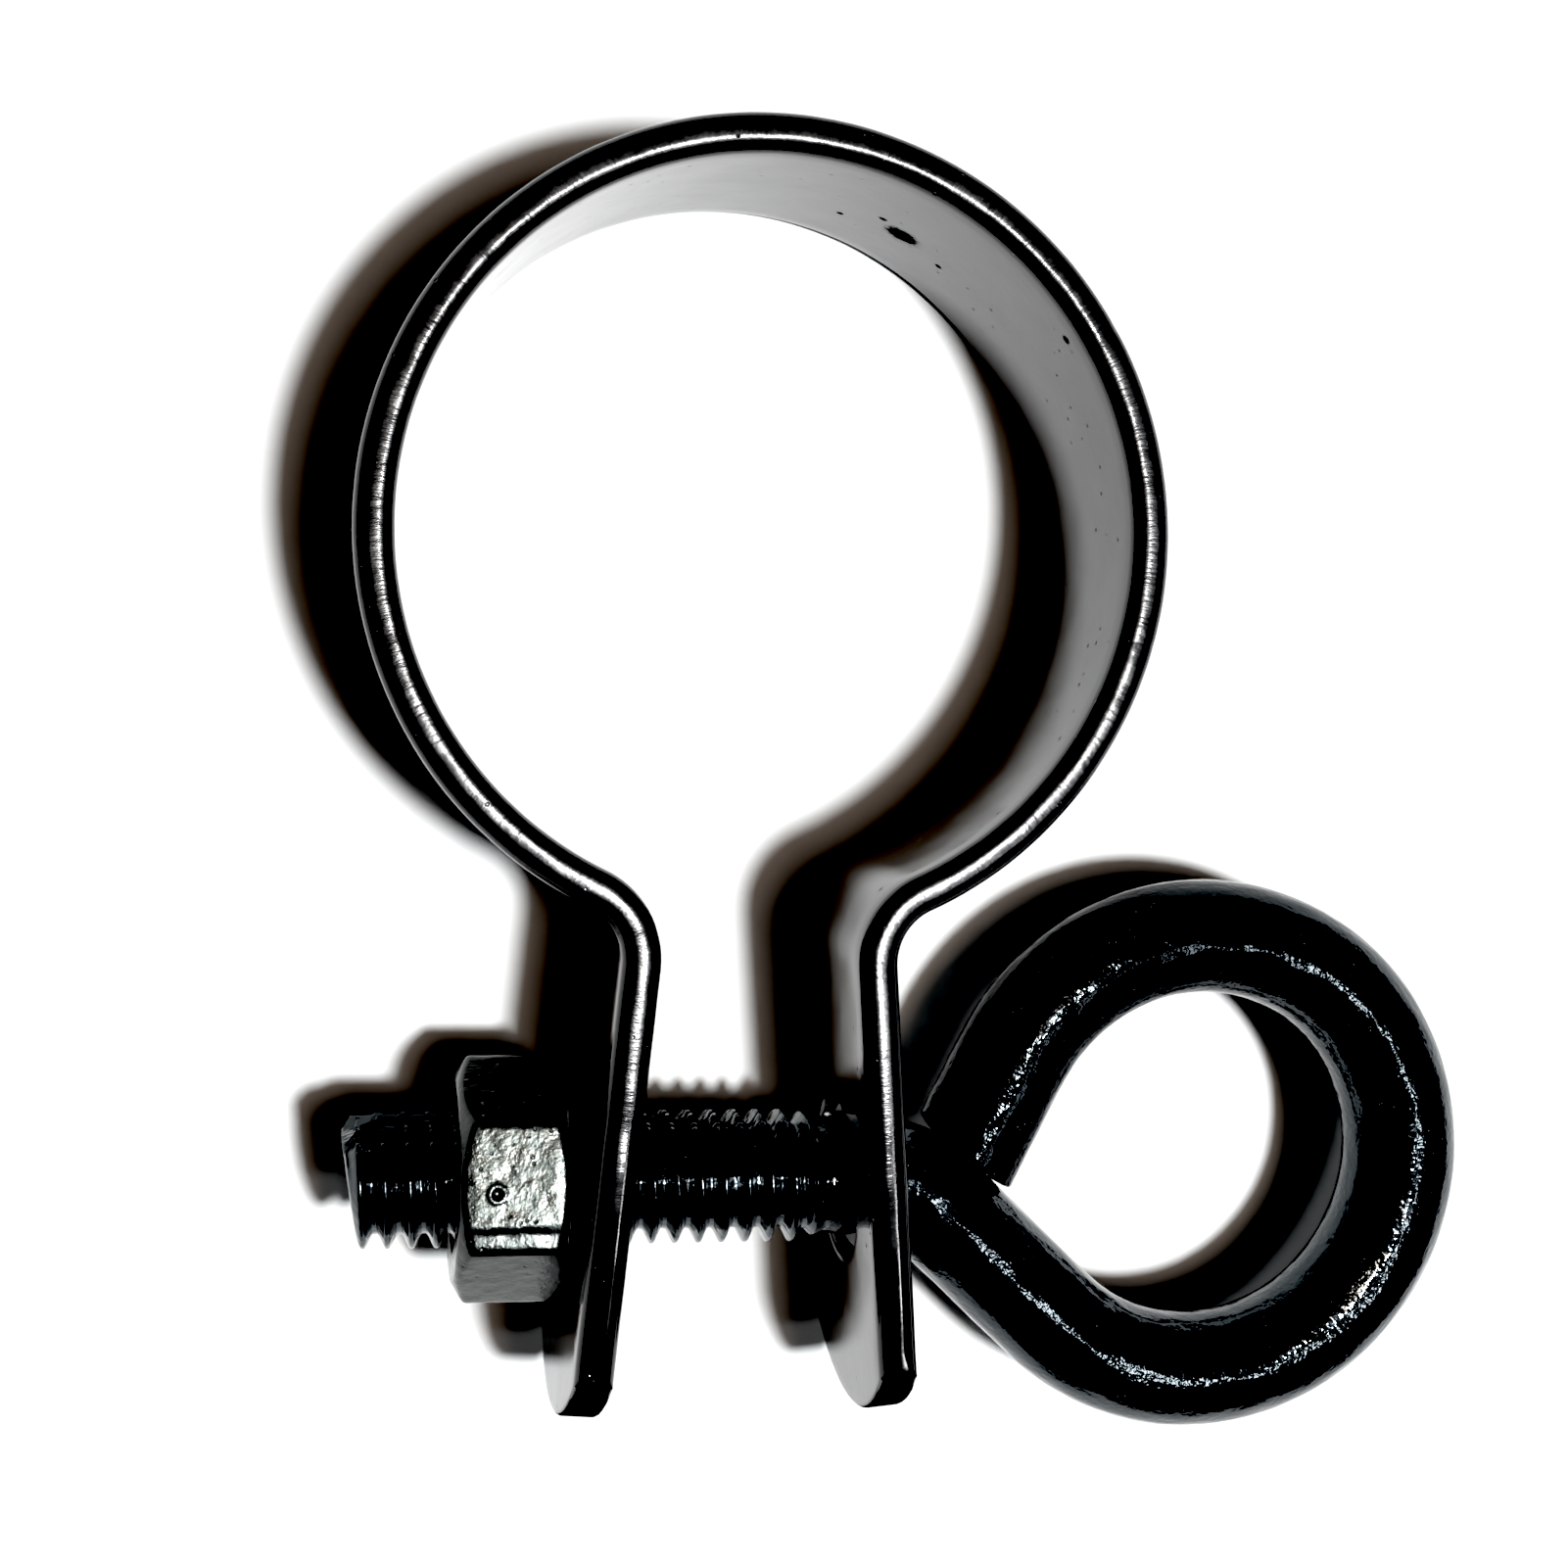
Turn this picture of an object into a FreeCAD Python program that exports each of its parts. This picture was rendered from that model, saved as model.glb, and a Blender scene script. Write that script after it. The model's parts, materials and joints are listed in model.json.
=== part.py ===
import FreeCAD, Part
import math
import os

import Sketcher

# Strap clamp with an eye bolt: a flat steel band bent to an open ring with two ears, an eye bolt
# through both ears, and one hex nut. Millimetres.
#
# Frame: the origin is on the axis of the band's bore, half way along the strap's width.
# +X runs along the bolt, from its cut end to its eye. +Y runs from the ears to the crown of the ring.
# +Z is the axis of the bore. Lying flat, the clamp rests on the strap's lower edge, z = -strap_width / 2.

V = FreeCAD.Vector

# Driving dimensions: alias, value in mm (or degrees), what it is.
DIMENSIONS = (
    ("bore_radius", 20.95, "inside radius of the band, clamp slack"),
    ("strap_thickness", 2.28, "13 gauge steel strip"),
    ("strap_width", 19.05, "3/4 inch strip"),
    ("edge_round", 0.95, "rolled round on the strip's four long edges"),
    ("bend_radius", 3.3, "outside radius of the bend from ring to ear"),
    ("ear_lean", 4.9, "degrees that each ear spreads away from the other"),
    ("ear_gap", 13.7, "between the ears' inner faces at the bolt axis"),
    ("ear_tip_drop", 52.0, "bore axis to the lowest point of an ear"),
    ("ear_end_radius", 12.7, "radius that the end of an ear is cut to"),
    ("ear_hole", 9.92, "25/64 inch clearance hole in each ear"),
    ("crown_gap", 0.04, "slit between the two modelled halves of the band"),
    ("bolt_drop", 38.17, "bore axis to bolt axis"),
    ("thread_major", 7.94, "5/16-18 UNC major diameter"),
    ("thread_pitch", 1.4111, "18 threads per inch"),
    ("thread_tip", -25.0, "where the helix starts, past the cut end"),
    ("thread_stop", 6.9, "where the thread stops, in the right ear's hole"),
    ("bolt_end", -22.9, "cut end of the bolt, at its longest point"),
    ("wire", 7.02, "diameter of the eye's wire, the rolled thread's blank"),
    ("neck_bend", 5.2, "bend radius between shank and lower arm, on the wire's axis"),
    ("arm_angle", 43.0, "degrees that the lower arm falls from the bolt axis"),
    ("eye_radius", 10.25, "inside radius of the eye"),
    ("eye_reach", 30.1, "band axis to eye centre, along X"),
    ("eye_rise", 1.05, "bolt axis to eye centre, along Y"),
    ("return_angle", 64.0, "degrees that the returning arm falls, down to the butt joint"),
    ("return_length", 9.0, "straight length of the returning arm before its end is cut off"),
    ("butt_x", 14.95, "a point of the cut end, band axis to it, along X"),
    ("butt_y", 1.3, "the same point, bolt axis to it, along Y"),
    ("butt_angle", 39.0, "degrees that the cut end slopes, to lie on the lower arm"),
    ("butt_side", 9.0, "half width of the outline that cuts the end"),
    ("butt_depth", 12.0, "height of that outline below the point"),
    ("nut_flats", 12.7, "1/2 inch across flats"),
    ("nut_height", 6.35, "1/4 inch high"),
    ("nut_seat", -10.05, "bearing face of the nut, against the left ear"),
    ("nut_turn", 8.0, "degrees that the nut's front flat is turned towards +Y"),
    ("nut_chamfer", 0.75, "depth of the 30 degree corner chamfers, along X"),
    ("mouth_rim", 0.3, "radius of the countersunk mouths over the thread's major radius"),
    ("mouth_depth", 0.9, "depth of the 45 degree countersinks"),
    ("thread_clearance", 0.16, "radial clearance between nut thread and bolt thread"),
    ("overrun", 2.0, "how far stock and cutting outlines run past what is cut"),
)

doc = FreeCAD.newDocument("strap_clamp")
sheet = doc.addObject("Spreadsheet::Sheet", "dims")
for row, (alias, value, note) in enumerate(DIMENSIONS, start=1):
    sheet.set(f"A{row}", alias)
    sheet.set(f"B{row}", str(value))
    sheet.set(f"C{row}", note)
    sheet.setAlias(f"B{row}", alias)
doc.recompute()

dim = {alias: float(value) for alias, value, _ in DIMENSIONS}

# The least volume, in cubic millimetres, that a cut has to remove.
LEAST_CUT = 1e-3
# Basic profile of a 60 degree thread, as shares of the pitch.
FLANK = math.tan(math.radians(30))
THREAD_DEPTH_SHARE = 0.6134
CREST_SHARE = 0.125
# The ridge reaches this far into the core, so that the two join as one solid.
RIDGE_ROOT = 0.2
# Pitches from the last turn of the ridge to thread_stop, which keep the ridge inside its core.
RIDGE_RUN_OUT = 0.7
# Pitches that the nut's groove starts before the nut, and runs past it at both ends taken together.
GROOVE_LEAD = 1.5
GROOVE_EXTRA = 4
# The bolt's sheared end: distance back from bolt_end and height over the bolt axis, from top to bottom.
# The shear dragged the upper side to a long bevel.
SHEARED_END = ((4.1, 7.0), (4.1, 4.3), (0.0, 2.6), (1.0, -3.5), (2.2, -7.0))


def new_body(name):
    body = doc.addObject("PartDesign::Body", name)
    body.Label = name
    return body


def origin_feature(body, role):
    return next(item for item in body.Origin.OriginFeatures if item.Role == role)


def new_sketch(body, name, role, offset=None):
    """A sketch on one of the body's origin planes, moved along the plane's normal by an expression."""
    sketch = body.newObject("Sketcher::SketchObject", name)
    sketch.AttachmentSupport = [(origin_feature(body, role), "")]
    sketch.MapMode = "FlatFace"
    if offset:
        sketch.setExpression("AttachmentOffset.Base.z", offset)
    return sketch


def constrain(sketch, *args):
    return sketch.addConstraint(Sketcher.Constraint(*args))


def drive(sketch, name, expression, *args):
    """A sizing constraint with a name, whose value comes from the sheet."""
    index = constrain(sketch, *args)
    sketch.renameConstraint(index, name)
    sketch.setExpression(f"Constraints.{name}", expression)


def polygon(sketch, points):
    """Closed chain of lines; returns the index of each line."""
    closed = zip(points, points[1:] + points[:1])
    lines = [sketch.addGeometry(Part.LineSegment(V(*a, 0), V(*b, 0)), False) for a, b in closed]
    for line, following in zip(lines, lines[1:] + lines[:1]):
        constrain(sketch, "Coincident", line, 2, following, 1)
    return lines


def place_point(sketch, name, line, x_expression, y_expression, point):
    """Fix the start of a line at a point given by two expressions."""
    drive(sketch, f"{name}_x", x_expression, "DistanceX", -1, 1, line, 1, point[0])
    drive(sketch, f"{name}_y", y_expression, "DistanceY", -1, 1, line, 1, point[1])


def circle_across_x(body, name, radius_expression, radius, offset=None, y_expression=None, y=0.0):
    """A circle on the YZ plane, about the X axis unless it is moved along Y."""
    sketch = new_sketch(body, name, "YZ_Plane", offset)
    circle = sketch.addGeometry(Part.Circle(V(y, 0, 0), V(0, 0, 1), radius), False)
    if y_expression:
        constrain(sketch, "PointOnObject", circle, 3, -1)
        drive(sketch, "centre_y", y_expression, "DistanceX", -1, 1, circle, 3, y)
    else:
        constrain(sketch, "Coincident", circle, 3, -1, 1)
    drive(sketch, "radius", radius_expression, "Radius", circle, radius)
    return sketch


def check_cut(body, name, before):
    """Stops if the body's volume is still what it was before the cut."""
    if not before - body.Shape.Volume > LEAST_CUT:
        raise RuntimeError(f"{body.Label}: {name} cuts nothing")


def cut_through(body, name, sketch):
    """Pocket both ways from the sketch."""
    doc.recompute()
    before = body.Shape.Volume
    pocket = body.newObject("PartDesign::Pocket", name)
    pocket.Profile = sketch
    pocket.Type = "ThroughAll"
    pocket.Midplane = True
    doc.recompute()
    check_cut(body, name, before)


def turned_cut(body, name, sketch):
    """Groove all round the X axis."""
    doc.recompute()
    before = body.Shape.Volume
    groove = body.newObject("PartDesign::Groove", name)
    groove.Profile = sketch
    groove.ReferenceAxis = (origin_feature(body, "X_Axis"), [""])
    groove.Angle = 360
    doc.recompute()
    check_cut(body, name, before)


# ---------------------------------------------------------------- band

def band_path(body):
    """Centre line of the right half: ring from the crown, bend, straight ear."""
    sketch = new_sketch(body, "band_path", "XY_Plane")
    half = dim["strap_thickness"] / 2
    ring_radius = dim["bore_radius"] + half
    bend_radius = dim["bend_radius"] + half
    lean = math.radians(dim["ear_lean"])
    along = V(math.sin(lean), -math.cos(lean), 0)
    outward = V(math.cos(lean), math.sin(lean), 0)
    at_bolt = V(dim["ear_gap"] / 2 + half / math.cos(lean), -dim["bolt_drop"], 0)
    # The bend's centre is bend_radius outside the ear's line and ring_radius + bend_radius from the bore.
    foot = at_bolt + outward * bend_radius
    reach = ring_radius + bend_radius
    middle = -foot.dot(along)
    rise = math.sqrt(reach ** 2 - (foot.Length ** 2 - middle ** 2))
    bend_centre = foot + along * (middle + rise)
    meets_ring = math.atan2(bend_centre.y, bend_centre.x)
    tip_y = -dim["ear_tip_drop"] - dim["overrun"]
    ear_start = bend_centre - outward * bend_radius
    ear_end = ear_start + along * ((ear_start.y - tip_y) / math.cos(lean))

    ring = sketch.addGeometry(
        Part.ArcOfCircle(Part.Circle(V(0, 0, 0), V(0, 0, 1), ring_radius), meets_ring, math.pi / 2), False)
    bend = sketch.addGeometry(
        Part.ArcOfCircle(Part.Circle(bend_centre, V(0, 0, 1), bend_radius), math.pi + meets_ring,
                         math.pi + lean), False)
    ear = sketch.addGeometry(Part.LineSegment(ear_start, ear_end), False)
    constrain(sketch, "Coincident", ring, 3, -1, 1)
    constrain(sketch, "PointOnObject", ring, 2, -2)
    constrain(sketch, "Tangent", ring, 1, bend, 1)
    constrain(sketch, "Tangent", bend, 2, ear, 1)
    drive(sketch, "ring_radius", "dims.bore_radius + dims.strap_thickness / 2", "Radius", ring, ring_radius)
    drive(sketch, "bend_radius", "dims.bend_radius + dims.strap_thickness / 2", "Radius", bend, bend_radius)
    drive(sketch, "ear_end_y", "-dims.ear_tip_drop - dims.overrun", "DistanceY", -1, 1, ear, 2, tip_y)
    end_x = at_bolt.x + (-dim["bolt_drop"] - tip_y) * math.tan(lean)
    drive(sketch, "ear_end_x",
          "(dims.ear_gap + dims.strap_thickness / cos(dims.ear_lean * 1 deg)) / 2"
          " + (dims.ear_tip_drop + dims.overrun - dims.bolt_drop) * tan(dims.ear_lean * 1 deg)",
          "DistanceX", -1, 1, ear, 2, end_x)
    # The ear's line also passes the bolt axis at half the gap, which sets its lean.
    mark = sketch.addGeometry(Part.Point(at_bolt), True)
    constrain(sketch, "PointOnObject", mark, 1, ear)
    drive(sketch, "at_bolt_x", "(dims.ear_gap + dims.strap_thickness / cos(dims.ear_lean * 1 deg)) / 2",
          "DistanceX", -1, 1, mark, 1, at_bolt.x)
    drive(sketch, "at_bolt_y", "-dims.bolt_drop", "DistanceY", -1, 1, mark, 1, at_bolt.y)
    return sketch


def strap_section(body):
    """Section of the strip at the crown: a rectangle with its four corners rolled round."""
    sketch = new_sketch(body, "strap_section", "YZ_Plane")
    inner = dim["bore_radius"]
    outer = inner + dim["strap_thickness"]
    half = dim["strap_width"] / 2
    r = dim["edge_round"]
    corners = ((outer - r, half - r, 0), (inner + r, half - r, 90),
               (inner + r, -half + r, 180), (outer - r, -half + r, 270))
    arcs = []
    for y, z, start in corners:
        circle = Part.Circle(V(y, z, 0), V(0, 0, 1), r)
        arc = Part.ArcOfCircle(circle, math.radians(start), math.radians(start + 90))
        arcs.append(sketch.addGeometry(arc, False))
    lines = []
    for arc, following in zip(arcs, arcs[1:] + arcs[:1]):
        start = sketch.getPoint(arc, 2)
        end = sketch.getPoint(following, 1)
        line = sketch.addGeometry(Part.LineSegment(start, end), False)
        constrain(sketch, "Tangent", arc, 2, line, 1)
        constrain(sketch, "Tangent", line, 2, following, 1)
        lines.append(line)
    for arc in arcs[1:]:
        constrain(sketch, "Equal", arcs[0], arc)
    constrain(sketch, "Horizontal", lines[0])
    constrain(sketch, "Vertical", lines[1])
    constrain(sketch, "Horizontal", lines[2])
    constrain(sketch, "Symmetric", arcs[0], 3, arcs[3], 3, -1)
    drive(sketch, "edge_round", "dims.edge_round", "Radius", arcs[0], r)
    drive(sketch, "inner_y", "dims.bore_radius", "DistanceX", -1, 1, lines[1], 1, inner)
    outer_radius = "dims.bore_radius + dims.strap_thickness"
    drive(sketch, "outer_y", outer_radius, "DistanceX", -1, 1, lines[3], 1, outer)
    drive(sketch, "top_z", "dims.strap_width / 2", "DistanceY", -1, 1, lines[0], 1, half)
    return sketch


def ear_end_cut(body):
    """Everything past the arc that the end of the ear is cut to, seen along X."""
    sketch = new_sketch(body, "ear_end", "YZ_Plane")
    radius = dim["ear_end_radius"]
    centre_y = radius - dim["ear_tip_drop"]
    half = dim["strap_width"] / 2 + dim["overrun"]
    turn = math.asin(half / radius)
    end_circle = Part.Circle(V(centre_y, 0, 0), V(0, 0, 1), radius)
    arc = sketch.addGeometry(Part.ArcOfCircle(end_circle, math.pi - turn, math.pi + turn), False)
    arc_y = centre_y - radius * math.cos(turn)
    far_y = -dim["ear_tip_drop"] - 2 * dim["overrun"]
    points = ((arc_y, half), (far_y, half), (far_y, -half), (arc_y, -half))
    sides = [sketch.addGeometry(Part.LineSegment(V(*a, 0), V(*b, 0)), False)
             for a, b in zip(points, points[1:])]
    constrain(sketch, "Coincident", arc, 1, sides[0], 1)
    constrain(sketch, "Coincident", sides[0], 2, sides[1], 1)
    constrain(sketch, "Coincident", sides[1], 2, sides[2], 1)
    constrain(sketch, "Coincident", sides[2], 2, arc, 2)
    constrain(sketch, "Horizontal", sides[0])
    constrain(sketch, "Horizontal", sides[2])
    constrain(sketch, "Vertical", sides[1])
    constrain(sketch, "PointOnObject", arc, 3, -1)
    drive(sketch, "end_radius", "dims.ear_end_radius", "Radius", arc, radius)
    end_centre = "dims.ear_end_radius - dims.ear_tip_drop"
    drive(sketch, "end_centre", end_centre, "DistanceX", -1, 1, arc, 3, centre_y)
    half_width = "dims.strap_width / 2 + dims.overrun"
    drive(sketch, "half_width", half_width, "DistanceY", -1, 1, sides[0], 1, half)
    drive(sketch, "other_half", half_width, "DistanceY", arc, 2, -1, 1, half)
    drive(sketch, "far_edge", "-dims.ear_tip_drop - 2 * dims.overrun", "DistanceX", -1, 1, sides[0], 2, far_y)
    return sketch


def band_right_half():
    body = new_body("band_right_half")
    section = strap_section(body)
    path = band_path(body)
    doc.recompute()
    strip = body.newObject("PartDesign::AdditivePipe", "strip")
    strip.Profile = section
    strip.Spine = (path, ["Edge1", "Edge2", "Edge3"])
    strip.Mode = "Frenet"
    cut_through(body, "ear_end_pocket", ear_end_cut(body))
    hole = circle_across_x(body, "ear_hole", "dims.ear_hole / 2", dim["ear_hole"] / 2,
                           y_expression="-dims.bolt_drop", y=-dim["bolt_drop"])
    cut_through(body, "ear_hole_pocket", hole)
    body.setExpression("Placement.Base.x", "dims.crown_gap / 2")
    doc.recompute()
    return body


def band_left_half(right_half):
    """The other half of the same band: its mirror image in the YZ plane."""
    mirror = doc.addObject("Part::Mirroring", "band_left_half")
    mirror.Source = right_half
    mirror.Base = V(0, 0, 0)
    mirror.Normal = V(1, 0, 0)
    mirror.Label = "band_left_half"
    doc.recompute()
    return mirror


# ---------------------------------------------------------------- eye bolt

def thread_profile(body, name, x_expression, x, clearance_expression, clearance):
    """Trapezoid of one thread ridge on the XY plane, base inside the core, crest at the major radius."""
    sketch = new_sketch(body, name, "XY_Plane")
    pitch = dim["thread_pitch"]
    crest_y = dim["thread_major"] / 2 + clearance
    base_y = dim["thread_major"] / 2 - THREAD_DEPTH_SHARE * pitch - RIDGE_ROOT + clearance
    crest = CREST_SHARE * pitch / 2
    base = crest + (crest_y - base_y) * FLANK
    points = [(x - base, base_y), (x + base, base_y), (x + crest, crest_y), (x - crest, crest_y)]
    bottom, right, top, left = polygon(sketch, points)
    constrain(sketch, "Horizontal", bottom)
    constrain(sketch, "Horizontal", top)
    constrain(sketch, "Equal", left, right)
    depth = f"({THREAD_DEPTH_SHARE} * dims.thread_pitch + {RIDGE_ROOT})"
    half_crest = f"{CREST_SHARE / 2} * dims.thread_pitch"
    crest_at = f"dims.thread_major / 2 + {clearance_expression}"
    drive(sketch, "crest_y", crest_at, "DistanceY", -1, 1, top, 1, crest_y)
    drive(sketch, "base_y", f"{crest_at} - {depth}", "DistanceY", -1, 1, bottom, 1, base_y)
    drive(sketch, "crest_x", f"{x_expression} + {half_crest}", "DistanceX", -1, 1, top, 1, x + crest)
    drive(sketch, "crest_width", f"2 * {half_crest}", "DistanceX", top, 2, top, 1, 2 * crest)
    drive(sketch, "base_x", f"{x_expression} - {half_crest} - {depth} * tan(30 deg)",
          "DistanceX", -1, 1, bottom, 1, x - base)
    return sketch


def minor_radius():
    """The thread's minor radius, as an expression and a number."""
    radius = dim["thread_major"] / 2 - THREAD_DEPTH_SHARE * dim["thread_pitch"]
    return f"dims.thread_major / 2 - {THREAD_DEPTH_SHARE} * dims.thread_pitch", radius


def helix(body, kind, name, profile, height_expression):
    thread = body.newObject(kind, name)
    thread.Profile = profile
    thread.ReferenceAxis = (origin_feature(body, "X_Axis"), [""])
    thread.Mode = "pitch-height-angle"
    thread.setExpression("Pitch", "dims.thread_pitch")
    thread.setExpression("Height", height_expression)
    return thread


def eye_centre():
    return V(dim["eye_reach"], dim["eye_rise"], 0)


def wire_bend_radius():
    return dim["eye_radius"] + dim["wire"] / 2


def pin_eye(sketch, arc):
    """Centre and radius of the eye's arc, on the wire's axis."""
    centre = eye_centre()
    drive(sketch, "eye_radius", "dims.eye_radius + dims.wire / 2", "Radius", arc, wire_bend_radius())
    drive(sketch, "eye_reach", "dims.eye_reach", "DistanceX", -1, 1, arc, 3, centre.x)
    drive(sketch, "eye_rise", "dims.eye_rise", "DistanceY", -1, 1, arc, 3, centre.y)


def eye_path(body):
    """Axis of the wire: shank, bend, lower arm, eye to its top. The bolt axis is y = 0 here."""
    sketch = new_sketch(body, "eye_path", "XY_Plane")
    bend_radius = dim["neck_bend"]
    fall = math.radians(dim["arm_angle"])
    centre = eye_centre()
    eye_radius = wire_bend_radius()
    start = V(dim["thread_stop"], 0, 0)

    arm_end = centre + V(-math.sin(fall), -math.cos(fall), 0) * eye_radius
    corner_x = arm_end.x + arm_end.y / math.tan(fall)
    tangent = bend_radius * math.tan(fall / 2)
    bend_start = V(corner_x - tangent, 0, 0)
    bend_end = V(corner_x + tangent * math.cos(fall), -tangent * math.sin(fall), 0)
    bend_centre = V(bend_start.x, -bend_radius, 0)

    shank = sketch.addGeometry(Part.LineSegment(start, bend_start), False)
    bend_circle = Part.Circle(bend_centre, V(0, 0, 1), bend_radius)
    bend = sketch.addGeometry(Part.ArcOfCircle(bend_circle, math.pi / 2 - fall, math.pi / 2), False)
    arm = sketch.addGeometry(Part.LineSegment(bend_end, arm_end), False)
    eye_circle = Part.Circle(centre, V(0, 0, 1), eye_radius)
    eye = sketch.addGeometry(Part.ArcOfCircle(eye_circle, -math.pi / 2 - fall, math.pi / 2), False)
    constrain(sketch, "Horizontal", shank)
    constrain(sketch, "PointOnObject", shank, 1, -1)
    constrain(sketch, "Tangent", shank, 2, bend, 2)
    constrain(sketch, "Tangent", bend, 1, arm, 1)
    constrain(sketch, "Tangent", arm, 2, eye, 1)
    drive(sketch, "shank_x", "dims.thread_stop", "DistanceX", -1, 1, shank, 1, start.x)
    drive(sketch, "neck_bend", "dims.neck_bend", "Radius", bend, bend_radius)
    pin_eye(sketch, eye)
    arm_end_x = "dims.eye_reach - (dims.eye_radius + dims.wire / 2) * sin(dims.arm_angle * 1 deg)"
    drive(sketch, "arm_end_x", arm_end_x, "DistanceX", -1, 1, arm, 2, arm_end.x)
    drive(sketch, "eye_top", "dims.eye_reach", "DistanceX", -1, 1, eye, 2, centre.x)
    return sketch


def return_path(body):
    """Axis of the wire from the eye's top to its end."""
    sketch = new_sketch(body, "return_path", "XY_Plane")
    back = math.radians(dim["return_angle"])
    centre = eye_centre()
    eye_radius = wire_bend_radius()
    start = centre + V(-math.sin(back), math.cos(back), 0) * eye_radius
    end = start + V(-math.cos(back), -math.sin(back), 0) * dim["return_length"]
    eye = sketch.addGeometry(
        Part.ArcOfCircle(Part.Circle(centre, V(0, 0, 1), eye_radius), math.pi / 2, math.pi / 2 + back), False)
    arm = sketch.addGeometry(Part.LineSegment(start, end), False)
    constrain(sketch, "Tangent", eye, 2, arm, 1)
    pin_eye(sketch, eye)
    drive(sketch, "eye_top", "dims.eye_reach", "DistanceX", -1, 1, eye, 1, centre.x)
    drive(sketch, "return_x",
          "dims.eye_reach - (dims.eye_radius + dims.wire / 2) * sin(dims.return_angle * 1 deg)",
          "DistanceX", -1, 1, arm, 1, start.x)
    drive(sketch, "return_length", "dims.return_length", "Distance", arm, dim["return_length"])
    return sketch


def butt_cut(body):
    """Everything below the cut end of the returning arm."""
    sketch = new_sketch(body, "butt_cut", "XY_Plane")
    slope = math.radians(dim["butt_angle"])
    x = dim["butt_x"]
    y = dim["butt_y"]
    side = dim["butt_side"]
    low_y = y - dim["butt_depth"]
    rise = side * math.tan(slope)
    points = [(x - side, y + rise), (x - side, low_y), (x + side, low_y), (x + side, y - rise)]
    lines = polygon(sketch, points)
    left = "dims.butt_x - dims.butt_side"
    right = "dims.butt_x + dims.butt_side"
    low = "dims.butt_y - dims.butt_depth"
    slope_rise = "dims.butt_side * tan(dims.butt_angle * 1 deg)"
    place_point(sketch, "high", lines[0], left, f"dims.butt_y + {slope_rise}", points[0])
    place_point(sketch, "low_left", lines[1], left, low, points[1])
    place_point(sketch, "low_right", lines[2], right, low, points[2])
    place_point(sketch, "low", lines[3], right, f"dims.butt_y - {slope_rise}", points[3])
    return sketch


def bent_wire(body, name, section, path, edges):
    doc.recompute()
    pipe = body.newObject("PartDesign::AdditivePipe", name)
    pipe.Profile = section
    pipe.Spine = (path, [f"Edge{number}" for number in range(1, edges + 1)])
    pipe.Mode = "Frenet"
    doc.recompute()


def sheared_end(body):
    """Everything past the bolt's sheared end."""
    sketch = new_sketch(body, "sheared_end", "XY_Plane")
    far = dim["thread_tip"] - dim["overrun"]
    points = [(dim["bolt_end"] + back, height) for back, height in SHEARED_END]
    places = [(f"dims.bolt_end + {back}", f"{height}") for back, height in SHEARED_END]
    for height in (SHEARED_END[-1][1], SHEARED_END[0][1]):
        points.append((far, height))
        places.append(("dims.thread_tip - dims.overrun", f"{height}"))
    lines = polygon(sketch, points)
    for number, (line, place, point) in enumerate(zip(lines, places, points)):
        place_point(sketch, f"corner{number}", line, *place, point)
    return sketch


def eye_bolt():
    """Built back from the returning arm, so that its end is cut before the lower arm is there."""
    body = new_body("eye_bolt")
    wire = ("dims.wire / 2", dim["wire"] / 2)
    top_section = circle_across_x(body, "top_section", *wire, offset="dims.eye_reach",
                                  y_expression="dims.eye_rise + dims.eye_radius + dims.wire / 2",
                                  y=dim["eye_rise"] + wire_bend_radius())
    bent_wire(body, "returning_arm", top_section, return_path(body), 2)
    cut_through(body, "butt_pocket", butt_cut(body))
    shank_section = circle_across_x(body, "shank_section", *wire, offset="dims.thread_stop")
    bent_wire(body, "eye", shank_section, eye_path(body), 4)

    core = body.newObject("PartDesign::Pad", "core")
    core.Profile = circle_across_x(body, "core_section", *minor_radius(), offset="dims.thread_tip")
    core.setExpression("Length", "dims.thread_stop - dims.thread_tip")
    doc.recompute()
    profile = thread_profile(body, "ridge_section", "dims.thread_tip", dim["thread_tip"], "0", 0)
    helix(body, "PartDesign::AdditiveHelix", "thread", profile,
          f"dims.thread_stop - dims.thread_tip - {RIDGE_RUN_OUT} * dims.thread_pitch")
    doc.recompute()
    cut_through(body, "sheared_end_pocket", sheared_end(body))
    body.setExpression("Placement.Base.y", "-dims.bolt_drop")
    doc.recompute()
    return body


# ---------------------------------------------------------------- nut

def hexagon(body):
    """Hexagon on the YZ plane, flats nut_flats apart, one flat turned nut_turn from +Z towards +Y."""
    sketch = new_sketch(body, "hexagon", "YZ_Plane")
    radius = dim["nut_flats"] / 2 / math.cos(math.radians(30))
    first = 60 - dim["nut_turn"]
    angles = [math.radians(first + 60 * step) for step in range(6)]
    points = [(radius * math.cos(a), radius * math.sin(a)) for a in angles]
    lines = polygon(sketch, points)
    rim = sketch.addGeometry(Part.Circle(V(0, 0, 0), V(0, 0, 1), radius), True)
    constrain(sketch, "Coincident", rim, 3, -1, 1)
    for line in lines:
        constrain(sketch, "PointOnObject", line, 1, rim)
    for line in lines[1:]:
        constrain(sketch, "Equal", lines[0], line)
    drive(sketch, "corner_radius", "dims.nut_flats / 2 / cos(30 deg)", "Radius", rim, radius)
    drive(sketch, "corner_y", "dims.nut_flats / 2 / cos(30 deg) * cos((60 - dims.nut_turn) * 1 deg)",
          "DistanceX", -1, 1, lines[0], 1, points[0][0])
    return sketch


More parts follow.
